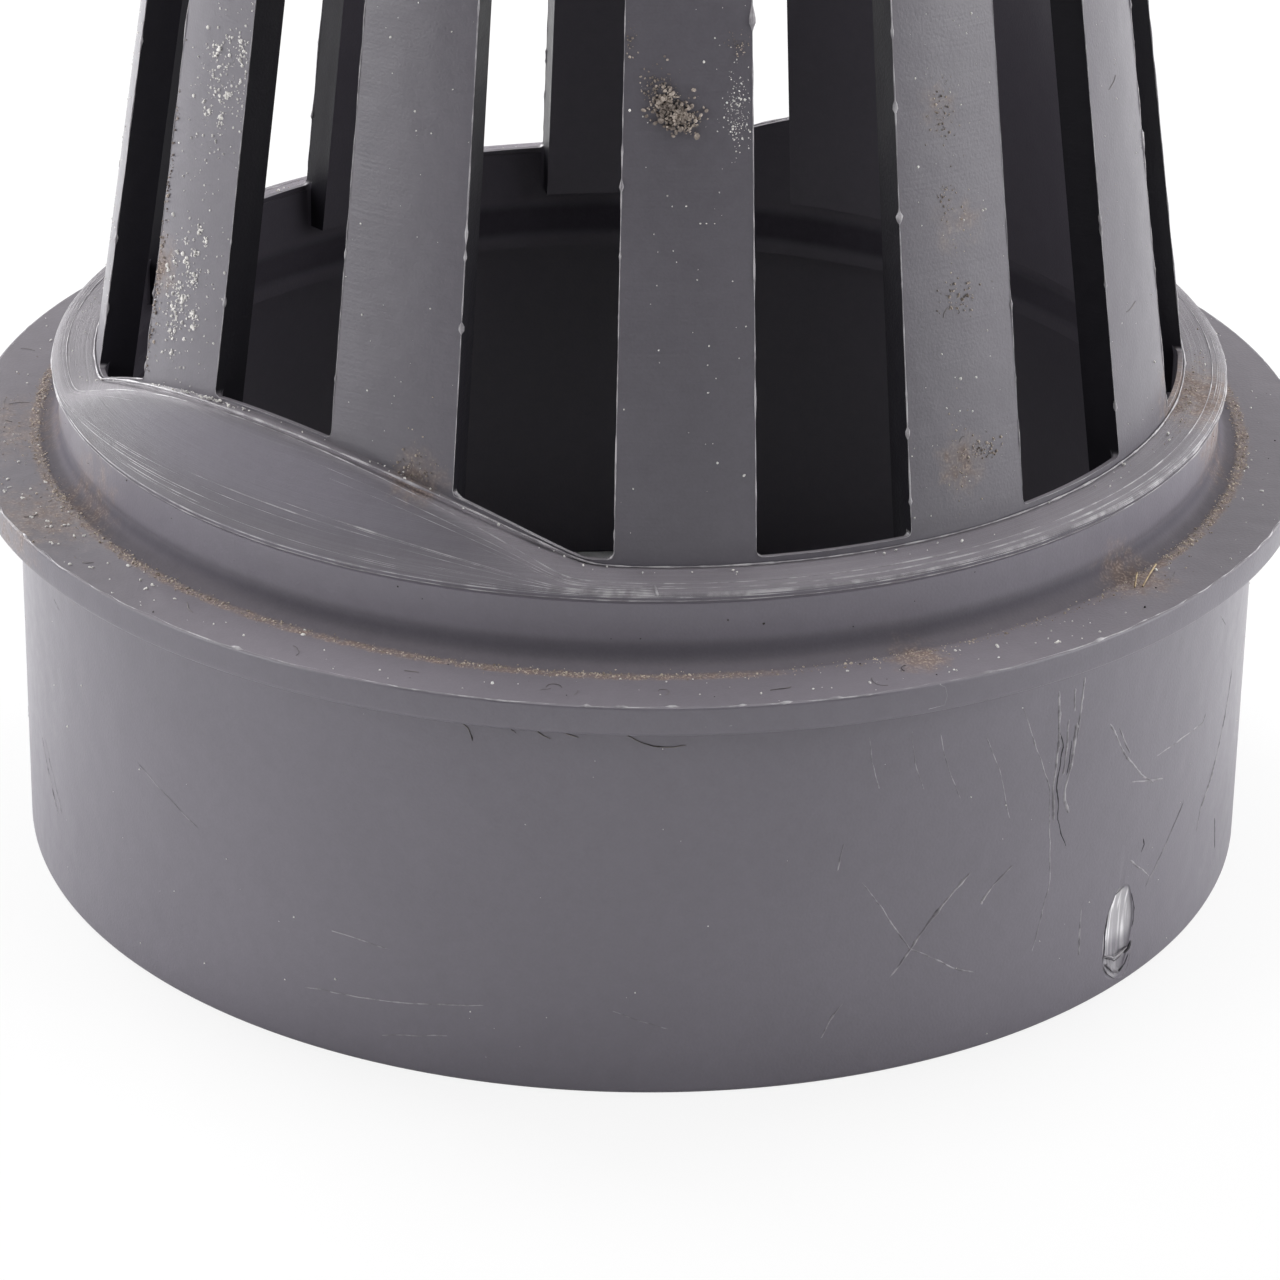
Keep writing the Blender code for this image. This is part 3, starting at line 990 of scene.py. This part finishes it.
# Sand and grime.
# Sand and dry silt from the drain, washed into the corner at the neck's foot and onto the
# shelf, with some grains on the slats. It stuck there when the water dried.
grain_reach = 0.00011
grain_side_shares = (0.55, 1.1)
grain_shares = (0.3, 1.0)
band_grain_count = 7000
band_radius = 0.0534
band_spread = 0.00034
band_radii = (0.0524, 0.0552)
bare_density_share = 0.3
least_density = 0.15
spot_density = 16000
spot_grain_share = 0.8
spot_spread_share = 0.42
spot_spread_across = 0.0014
spot_radii = (0.0532, 0.0587)
shelf_reach = 0.0015
slat_side_margin = 0.0002
shelf_margins = (0.0002, 0.0004)
grains = random.Random(41)
bare_start = math.radians(12)
bare_end = math.radians(47)
sand_brown = (0.250, 0.205, 0.172)
sand_tan = (0.600, 0.520, 0.440)
shape = bmesh.new()
bmesh.ops.create_icosphere(shape, subdivisions=1, radius=1)
grain = bpy.data.meshes.new("grain")
shape.to_mesh(grain)
shape.free()


def add_grain(shape, source, place, size):
    """Drops one grain of an odd shape at a place."""
    turned = Euler([source.uniform(0, whole_turn) for _ in range(3)]).to_matrix().to_4x4()
    sides = [size * source.uniform(*grain_side_shares) for _ in range(3)]
    matrix = Matrix.Translation(place) @ turned @ Matrix.Diagonal((*sides, 1))
    grain.transform(matrix)
    shape.from_mesh(grain)
    grain.transform(matrix.inverted())


def on_slat(turn):
    """Whether a turn lies on a slat's face and not in a slot."""
    offset = (turn - first_slat_turn + slat_pitch / 2) % slat_pitch - slat_pitch / 2
    return abs(offset) < slat_angle / 2 - slat_side_margin / dome_foot_radius


def slat_place(turn, level, stand_off=0):
    return place_at(turn, dome_radius(level) + stand_off, level)


def shelf_place(source, turn):
    """A place on the shelf, which is a narrow strip on top of the humps."""
    level = shelf_top + hump_rise(turn, dome_foot_radius)
    inner = dome_radius(level) + shelf_margins[0]
    outer = cove_radius(shelf_edge_top + hump_rise(turn, shelf_edge_radius)) - shelf_margins[1]
    return place_at(turn, source.uniform(inner, max(inner, outer)), level)


def drop_grain(shape, source, place, reach):
    """Drops one grain at a place, most often smaller than the reach."""
    size = reach * source.uniform(*grain_shares) * source.choice((0.6, 0.8, 1.0, 1.0, 1.5))
    add_grain(shape, source, place, size)


def held(value, low, high):
    return min(max(value, low), high)


def flange_level(radius):
    """Height of the flange's top and of the fillet at the neck's foot."""
    inside = max(0.0, neck_radius + neck_fillet - radius)
    return flange_top + neck_fillet - math.sqrt(neck_fillet ** 2 - min(inside, neck_fillet) ** 2)


def grains_object(name, shape, material):
    made = new_object(name, shape)
    made.data.materials.append(material)
    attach(made, "root")
    return made


sand_material = mottled("dry_sand", sand_brown, sand_tan, 2600, 0.9)
shape = bmesh.new()
for _ in range(band_grain_count):
    turn = grains.uniform(0, whole_turn)
    density = 0.55 + 0.9 * ripple.noise(Vector((math.sin(turn), math.cos(turn), 0.3)) * 4.0)
    if bare_start < turn < bare_end:
        density *= bare_density_share
    if grains.random() > density + least_density:
        continue
    reach = held(grains.gauss(band_radius, band_spread), *band_radii)
    drop_grain(shape, grains, place_at(turn, reach, flange_level(reach)), grain_reach)
for turn, spot_radius, spot_height, spot_reach, strength in grime_spots:
    for _ in range(int(spot_reach * spot_density * strength)):
        away = grains.gauss(0, spot_reach * spot_spread_share)
        spin = math.radians(turn) + away / spot_radius
        if spot_height < neck_fillet + flange_top:
            reach = held(spot_radius + grains.gauss(0, spot_spread_across), *spot_radii)
            place_here = place_at(spin, reach, flange_top)
        elif spot_height < bead_top + shelf_reach:
            place_here = shelf_place(grains, spin)
        else:
            level = spot_height + grains.gauss(0, spot_reach * 0.5)
            spin = math.radians(turn) + away * 0.45 / spot_radius
            if not on_slat(spin) or level < slot_floor(spin):
                continue
            place_here = slat_place(spin, level)
        drop_grain(shape, grains, place_here, grain_reach * spot_grain_share)
grains_object("sand", shape, sand_material)

# Lime specks.
# White crumbs of lime and mortar, thick on the slats at the left and thin elsewhere.
# Water left them on the plastic as it dried.
lime_white = (0.820, 0.800, 0.770)
lime_grey = (0.560, 0.545, 0.530)
specks = random.Random(17)
speck_reach = 0.00015
speck_counts = {-3: 110, -2: 520, -1: 45, 0: 60, 1: 70, 2: 45, 3: 30, 4: 60, 5: 80, 6: 60, 7: 90, 8: 120}
limed_slat = -2
thin_speck_share = 0.75
lime_clouds = ((0.0585, 0.0028), (0.0770, 0.0030))
cluster_clouds = ((0.0590, 0.0030), (0.0780, 0.0030))
cluster_levels = (0.0540, 0.0920)
cluster_count = 34
cluster_share = 1.25
cluster_spread = (0.00028, 0.00030)
upright_level = 0.0620
lean_rate = 14
lime_margins = (0.0015, 0.004)
shelf_cloud = (-50, 4.5)
flange_margins = (0.0006, 0.0010)
spigot_margins = (0.001, 0.002)
fragment_spread = (0.00013, 0.00010)


def across_limed_slat(level, spread, most):
    """A place across the slat with thick lime, whose middle leans with the level."""
    leaning = specks.gauss((level - upright_level) * lean_rate, spread)
    return first_slat_turn + limed_slat * slat_pitch + slat_angle * held(leaning, -most, most)


shape = bmesh.new()
for slat, count in speck_counts.items():
    middle = first_slat_turn + slat * slat_pitch
    for _ in range(count):
        level = specks.uniform(shelf_top + lime_margins[0], dome_wall_top - lime_margins[1])
        spin = middle + slat_angle * specks.uniform(-0.48, 0.48)
        if slat == limed_slat:
            level = specks.choice((level, *(specks.gauss(*cloud) for cloud in lime_clouds)))
            spin = across_limed_slat(level, 0.20, 0.47)
        if level > slot_floor(spin):
            drop_grain(shape, specks, slat_place(spin, level),
                       speck_reach * (1 if slat == limed_slat else thin_speck_share))
for _ in range(cluster_count):
    middle = specks.choice((specks.uniform(*cluster_levels),
                            *(specks.gauss(*cloud) for cloud in cluster_clouds)))
    lean = across_limed_slat(middle, 0.16, 0.42)
    for _ in range(specks.randint(5, 16)):
        level = middle + specks.gauss(0, cluster_spread[1])
        spin = lean + specks.gauss(0, cluster_spread[0]) / dome_radius(level)
        if on_slat(spin):
            drop_grain(shape, specks, slat_place(spin, level), speck_reach * cluster_share)
for _ in range(60):
    spin = math.radians(specks.gauss(*shelf_cloud))
    drop_grain(shape, specks, shelf_place(specks, spin), speck_reach)
for _ in range(260):
    spin = specks.uniform(0, whole_turn)
    reach = specks.uniform(neck_radius + neck_fillet, flange_radius - flange_margins[0])
    drop_grain(shape, specks, place_at(spin, reach, flange_top), speck_reach)
for _ in range(150):
    spin = specks.uniform(0, whole_turn)
    drop_grain(shape, specks, shelf_place(specks, spin), speck_reach)
for _ in range(160):
    spin = specks.uniform(0, whole_turn)
    level = specks.uniform(spigot_margins[0], spigot_length - spigot_margins[1])
    drop_grain(shape, specks, place_at(spin, spigot_radius, level), speck_reach * 0.7)
for _ in range(30):
    spin = math.radians(specks.choice((specks.gauss(-62, 9), specks.uniform(-180, 180))))
    reach = specks.uniform(neck_radius + neck_fillet + flange_margins[0],
                           flange_radius - flange_margins[1])
    for _ in range(specks.randint(2, 4)):
        beside = spin + specks.gauss(0, fragment_spread[0]) / flange_radius
        add_grain(shape, specks,
                  place_at(beside, reach + specks.gauss(0, fragment_spread[1]), flange_top),
                  speck_reach * specks.uniform(0.7, 1.3))
lime_material = mottled("lime_specks", lime_grey, lime_white, 1800, 0.85)
grains_object("lime", shape, lime_material)

# Mud splashes.
# Clods of dried mud on the front slats, each a crust of fine crumbs. They were wet
# splashes that dried on the plastic. A few dark crumbs lie on the neck and the flange.
mud_brown = (0.170, 0.142, 0.125)
mud_tan = (0.430, 0.370, 0.325)
splashes = [
    # turn in degrees, height, reach across, reach up, crumbs, crumb size, thickness
    (3.9, 0.0812, 0.00075, 0.00065, 260, 0.00021, 0.00022),
    (2.4, 0.0822, 0.00070, 0.00060, 190, 0.00019, 0.00015),
    (1.6, 0.0838, 0.00080, 0.00080, 80, 0.00012, 0.00006),
    (-1.6, 0.0868, 0.00030, 0.00060, 30, 0.00010, 0.00005),
    (9.9, 0.0868, 0.00060, 0.00040, 45, 0.00010, 0.00005),
    (37.0, 0.0512, 0.00120, 0.00050, 70, 0.00012, 0.00006),
    (34.5, 0.0640, 0.00110, 0.00080, 60, 0.00012, 0.00006),
    (33.5, 0.0722, 0.00050, 0.00100, 40, 0.00011, 0.00005),
    (33.8, 0.0790, 0.00060, 0.00160, 60, 0.00010, 0.00005),
    (-22.5, 0.0511, 0.00110, 0.00070, 60, 0.00012, 0.00006),
    (-61.6, 0.0585, 0.00035, 0.00350, 150, 0.00014, 0.00008),
    (-61.8, 0.0700, 0.00025, 0.00400, 60, 0.00012, 0.00006),
]
splash_turn = math.radians(10.0)
splash_level = 0.0815
splash_spread = (0.00055, 0.0016)
splash_crumb = 0.00008
dark_crumb = 0.00010
crumb_heights = (0.0400, 0.0432)
crumb_radii = (0.0534, 0.0585)
mud = random.Random(5)
shape = bmesh.new()
for turn, middle, across, up, count, size, thick in splashes:
    for _ in range(count):
        level = middle + mud.gauss(0, up)
        spin = math.radians(turn) + mud.gauss(0, across) / dome_radius(level)
        stand_off = abs(mud.gauss(0, thick))
        if on_slat(spin):
            drop_grain(shape, mud, slat_place(spin, level, stand_off), size)
mud_material = mottled("dried_mud", mud_brown, mud_tan, 1300, 0.95)
grains_object("mud", shape, mud_material)
shape = bmesh.new()
for _ in range(230):
    level = splash_level + mud.gauss(0, splash_spread[1])
    spin = splash_turn + mud.gauss(0, splash_spread[0]) / dome_radius(level)
    if on_slat(spin):
        drop_grain(shape, mud, slat_place(spin, level), splash_crumb)
grains_object("pale_splash", shape, lime_material)

shape = bmesh.new()
for _ in range(110):
    spin = mud.uniform(0, whole_turn)
    if mud.random() < 0.5:
        place_here = place_at(spin, neck_radius, mud.uniform(*crumb_heights))
    else:
        place_here = place_at(spin, mud.uniform(*crumb_radii), flange_top)
    drop_grain(shape, mud, place_here, dark_crumb)
soot_black = (0.014, 0.012, 0.012)
soot_brown = (0.050, 0.040, 0.036)
grains_object("dark_crumbs", shape, mottled("dark_crumbs", soot_black, soot_brown, 900, 0.9))

# Scratches on the spigot.
# Pale scores where the spigot scraped the pipe, each with a dark line of painted shade
# beside it for the shaded side of its groove, dark cracks in the deepest one and in the
# notch, and fine hairlines all round.
score_grey = (0.140, 0.131, 0.147)
pale_score_grey = (0.320, 0.308, 0.326)
groove_shade_grey = (0.065, 0.060, 0.069)
pale_groove_shade_grey = (0.100, 0.093, 0.105)
crack_black = (0.018, 0.017, 0.020)
crack_grey = (0.075, 0.070, 0.080)
scores = [
    # share of the thickness, then turns in degrees and heights
    (1.5, ((42.0, 0.0283), (41.5, 0.0243), (41.0, 0.0225), (40.9, 0.0212), (41.7, 0.0195))),
    (1.3, ((39.5, 0.0321), (39.8, 0.0280), (39.7, 0.0247), (39.4, 0.0224), (39.8, 0.0190))),
    (1.2, ((40.9, 0.0290), (40.8, 0.0262), (40.6, 0.0235))),
    (1.2, ((41.4, 0.0315), (41.6, 0.0290))),
    (1.0, ((42.6, 0.0322), (42.3, 0.0290), (42.1, 0.0262))),
    (0.9, ((46.2, 0.0268), (49.1, 0.0224), (51.7, 0.0198), (54.0, 0.0181))),
    (0.7, ((47.7, 0.0257), (49.7, 0.0224))),
    (0.6, ((53.7, 0.0207), (58.3, 0.0206), (63.3, 0.0202), (64.2, 0.0210))),
    (1.1, ((72.1, 0.0224), (71.3, 0.0199), (70.0, 0.0175), (68.5, 0.0152), (66.5, 0.0131),
           (64.2, 0.0113), (63.4, 0.0087))),
    (0.9, ((50.5, 0.0121), (54.2, 0.0090))),
    (0.4, ((50.1, 0.0097), (48.6, 0.0094), (47.8, 0.0080), (47.5, 0.0061), (47.6, 0.0041),
           (47.4, 0.0031), (48.2, 0.0019), (49.4, 0.0009), (50.6, 0.0007), (51.3, 0.0014),
           (51.6, 0.0025), (51.8, 0.0045))),
    (0.7, ((47.7, 0.0039), (49.0, 0.0031), (50.2, 0.0032), (51.2, 0.0034))),
    (0.8, ((48.0, 0.0029), (49.0, 0.0019), (50.1, 0.0013))),
    (0.6, ((43.9, 0.0083), (44.0, 0.0051))),
    (1.2, ((22.7, 0.0087), (24.0, 0.0100), (25.8, 0.0125), (27.4, 0.0143), (29.0, 0.0159),
           (31.0, 0.0175))),
    (0.6, ((19.8, 0.0189), (21.9, 0.0159), (23.9, 0.0129), (24.9, 0.0114), (26.9, 0.0102),
           (29.4, 0.0085), (31.9, 0.0074))),
    (0.7, ((17.8, 0.0197), (18.1, 0.0215), (18.3, 0.0225))),
    (0.9, ((31.9, 0.0141), (33.2, 0.0154), (35.3, 0.0168))),
    (1.2, ((31.8, 0.0144), (32.1, 0.0138))),
    (0.5, ((43.9, 0.0052), (43.8, 0.0078), (43.9, 0.0100))),
    (0.4, ((20.3, 0.0320), (20.6, 0.0294), (21.4, 0.0268))),
    (0.4, ((24.2, 0.0318), (24.6, 0.0288), (25.7, 0.0258))),
    (0.4, ((26.9, 0.0313), (27.8, 0.0278), (29.4, 0.0243))),
    (0.4, ((31.5, 0.0298), (33.3, 0.0261), (34.6, 0.0211))),
    (0.5, ((35.1, 0.0321), (39.0, 0.0230), (39.7, 0.0140), (37.8, 0.0069))),
    (0.7, ((18.9, 0.0076), (17.6, 0.0060), (16.8, 0.0042))),
    (0.9, ((-71.2, 0.0136), (-68.5, 0.0105), (-65.8, 0.0077))),
    (0.7, ((-70.0, 0.0140), (-67.0, 0.0108), (-64.8, 0.0082))),
    (0.5, ((-26.9, 0.0118), (-24.0, 0.0116), (-21.1, 0.0113))),
    (0.5, ((-30.0, 0.0057), (-21.0, 0.0064), (-12.0, 0.0076))),
    (0.5, ((-22.1, 0.0030), (-15.6, 0.0042))),
    (0.4, ((-1.6, 0.0080), (1.0, 0.0070), (3.6, 0.0062))),
]
cracks = [
    # share of the thickness, then turns in degrees and heights
    (0.6, ((39.7, 0.0282), (40.3, 0.0262), (40.2, 0.0247), (39.9, 0.0226), (40.2, 0.0195),
           (40.8, 0.0181), (41.4, 0.0166))),
    (0.5, ((41.3, 0.0266), (41.2, 0.0248), (41.0, 0.0235))),
    (0.5, ((52.5, 0.0133), (52.7, 0.0127), (52.3, 0.0121))),
    (0.5, ((51.2, 0.0087), (51.8, 0.0070), (51.7, 0.0051))),
    (1.7, ((50.6, 0.0030), (51.1, 0.0032), (51.4, 0.0038))),
    (0.9, ((51.3, 0.0027), (50.9, 0.0019), (49.9, 0.0014))),
    (0.5, ((47.7, 0.0037), (49.0, 0.0029), (50.2, 0.0030))),
]
score_size = 0.00015
score_spacing = 0.00030
score_wobble = 0.00010
wobble_waves = (700, 610)
score_waves = 1500
score_taper = 12
score_end_share = 0.3
score_depth_share = 0.55
groove_share = 0.55
groove_depth_share = 0.60
groove_turn = 0.16
groove_rise = 0.00003
hairline_count = 44
hairline_heights = (0.001, 0.034)
hairline_depth_share = 0.12
scuff_count = 26
scuff_inset = 0.00010
scuff_wobble = 0.00030
scuff_heights = (0.0006, 0.0011)
crack_share = 0.7
crack_wobble = 0.00020
scratching = random.Random(23)


def scored(curve, share, marks, radius, wobble):
    """A score through marks on the spigot, a little unsteady, thin at its ends."""
    points = evenly([place_at(math.radians(turn), radius, level) for turn, level in marks],
                    score_spacing)
    moved, sizes = [], []
    for index, point in enumerate(points):
        unsteady = ripple.noise(point * wobble_waves[0]) * wobble
        turn = math.atan2(point.x, -point.y) + unsteady / radius
        level = point.z + ripple.noise(point * wobble_waves[1]) * wobble
        from_end = min(index, len(points) - 1 - index) / len(points)
        end = min(1.0, score_taper * from_end + score_end_share)
        moved.append(place_at(turn, radius, level))
        sizes.append(share * end * (0.7 + 0.9 * abs(ripple.noise(point * score_waves))))
    strand(curve, moved, sizes)


score_material = mottled("scraped_plastic", score_grey, pale_score_grey, 900, 0.55)
score_lines = new_strands("scores", score_size, score_material, 2)
# Painted shade: the dark line beside each score.
groove_material = mottled("groove_shade", groove_shade_grey, pale_groove_shade_grey, 900, 0.8)
groove_lines = new_strands("grooves", score_size, groove_material)
for share, marks in scores:
    scored(score_lines, share, marks,
           spigot_radius - score_size * score_depth_share * share, score_wobble)
    beside = [(turn - groove_turn * share ** 0.5, level + groove_rise) for turn, level in marks]
    scored(groove_lines, share * groove_share, beside,
           spigot_radius - score_size * groove_depth_share * share, score_wobble)
for _ in range(hairline_count):
    turn = scratching.uniform(45, 315)
    level = scratching.uniform(0.002, 0.031)
    lean = scratching.gauss(0, 5)
    drop = scratching.uniform(-0.006, 0.003)
    marks = ((turn, level), (turn + lean, held(level + drop, *hairline_heights)))
    scored(score_lines, scratching.uniform(0.2, 0.6), marks,
           spigot_radius - score_size * hairline_depth_share, score_wobble)
for _ in range(scuff_count):
    turn = scratching.uniform(2.8, 7.4)
    level = scratching.uniform(spigot_length + scuff_heights[0], spigot_length + scuff_heights[1])
    end = (turn + scratching.uniform(0.2, 0.9), level + scratching.uniform(-0.0003, 0.0004))
    scored(score_lines, scratching.uniform(0.5, 0.8), ((turn, level), end),
           flange_radius - scuff_inset, scuff_wobble)
crack_material = mottled("cracked_plastic", crack_black, crack_grey, 900, 0.6)
crack_lines = new_strands("cracks", score_size * crack_share, crack_material)
for share, marks in cracks:
    scored(crack_lines, share, marks, spigot_radius, crack_wobble)

# Hairs and straw.
# Hairs, fine roots and bits of straw from the drain, dried onto the flange, the slats and
# the top of the spigot.
hair_brown = (0.035, 0.028, 0.025)
pale_hair = (0.230, 0.205, 0.195)
straw_yellow = (0.430, 0.330, 0.190)
straw_brown = (0.230, 0.165, 0.095)
hair_size = 0.000045
hair_wobble = 0.00025
hair_count = 34
hair_step = 0.00016
hair_radius = 0.0562
hair_lowest = 0.006
hair_climb = 0.03
straw_size = 0.00012
straw_lift = 0.00010
straw_spacing = 0.0004
hair_material = mottled("dark_hair", hair_brown, pale_hair, 500, 0.6)
hair_lines = new_strands("hairs", hair_size, hair_material)
hairs = [
    (1.0, ((-2.9, 0.0334), (-0.8, 0.0334), (1.6, 0.0324), (3.4, 0.0322), (4.4, 0.0325))),
    (1.1, ((-14.5, 0.0335), (-13.8, 0.0330), (-13.6, 0.0318))),
    (1.0, ((-8.6, 0.0338), (-7.6, 0.0330), (-6.9, 0.0326))),
    (1.0, ((-6.4, 0.0337), (-5.3, 0.0332), (-4.4, 0.0330))),
    (0.9, ((-11.0, 0.0339), (-9.7, 0.0329))),
    (1.0, ((-1.0, 0.0341), (0.8, 0.0338))),
    (0.9, ((13.9, 0.0345), (14.8, 0.0344))),
]
for share, marks in hairs:
    scored(hair_lines, share, marks, spigot_radius + hair_size, hair_wobble)
tangle = random.Random(9)
for _ in range(hair_count):
    spin = tangle.uniform(0, whole_turn)
    heading = tangle.uniform(0, whole_turn)
    bend = tangle.gauss(0, 0.35)
    kind = tangle.choice(("flange", "flange", "flange", "slat"))
    slat = tangle.choice((-3, -2, 1, 2, 3, 4, 5, 6, 7, 8))
    across, up = 0.0, 0.0
    points = []
    for _ in range(tangle.randint(6, 16)):
        across += hair_step * math.cos(heading)
        up += hair_step * math.sin(heading)
        heading += bend * 0.5 + tangle.gauss(0, 0.12)
        if kind == "flange":
            points.append(place_at(spin + across / flange_radius, hair_radius + up,
                                   flange_top + hair_size))
        else:
            level = shelf_top + hair_lowest + hair_climb * (spin / whole_turn) + up
            turn = first_slat_turn + slat * slat_pitch + across / dome_radius(level)
            points.append(slat_place(turn, level, hair_size * 0.5))
    strand(hair_lines, points, [tangle.uniform(0.35, 0.7)] * len(points))
straw_material = mottled("straw", straw_yellow, straw_brown, 900, 0.7)
straws = new_strands("straws", straw_size, straw_material)
for turn, reach, heading, length in ((50.2, 0.0548, 0.35, 0.0042), (49.6, 0.0544, 0.55, 0.0026),
                                     (-140, 0.0560, 1.2, 0.0035), (160, 0.0555, 0.2, 0.0030)):
    start = place_at(math.radians(turn), reach, flange_top + straw_lift)
    swing = math.radians(turn) + heading
    end = start + Vector((math.cos(swing), math.sin(swing), 0.05)) * length
    middle = start.lerp(end, 0.5) + Vector((0, 0, straw_lift))
    points = evenly([start, middle, end], straw_spacing)
    strand(straws, points, [0.6 + 0.5 * abs(ripple.noise(point * 900)) for point in points])
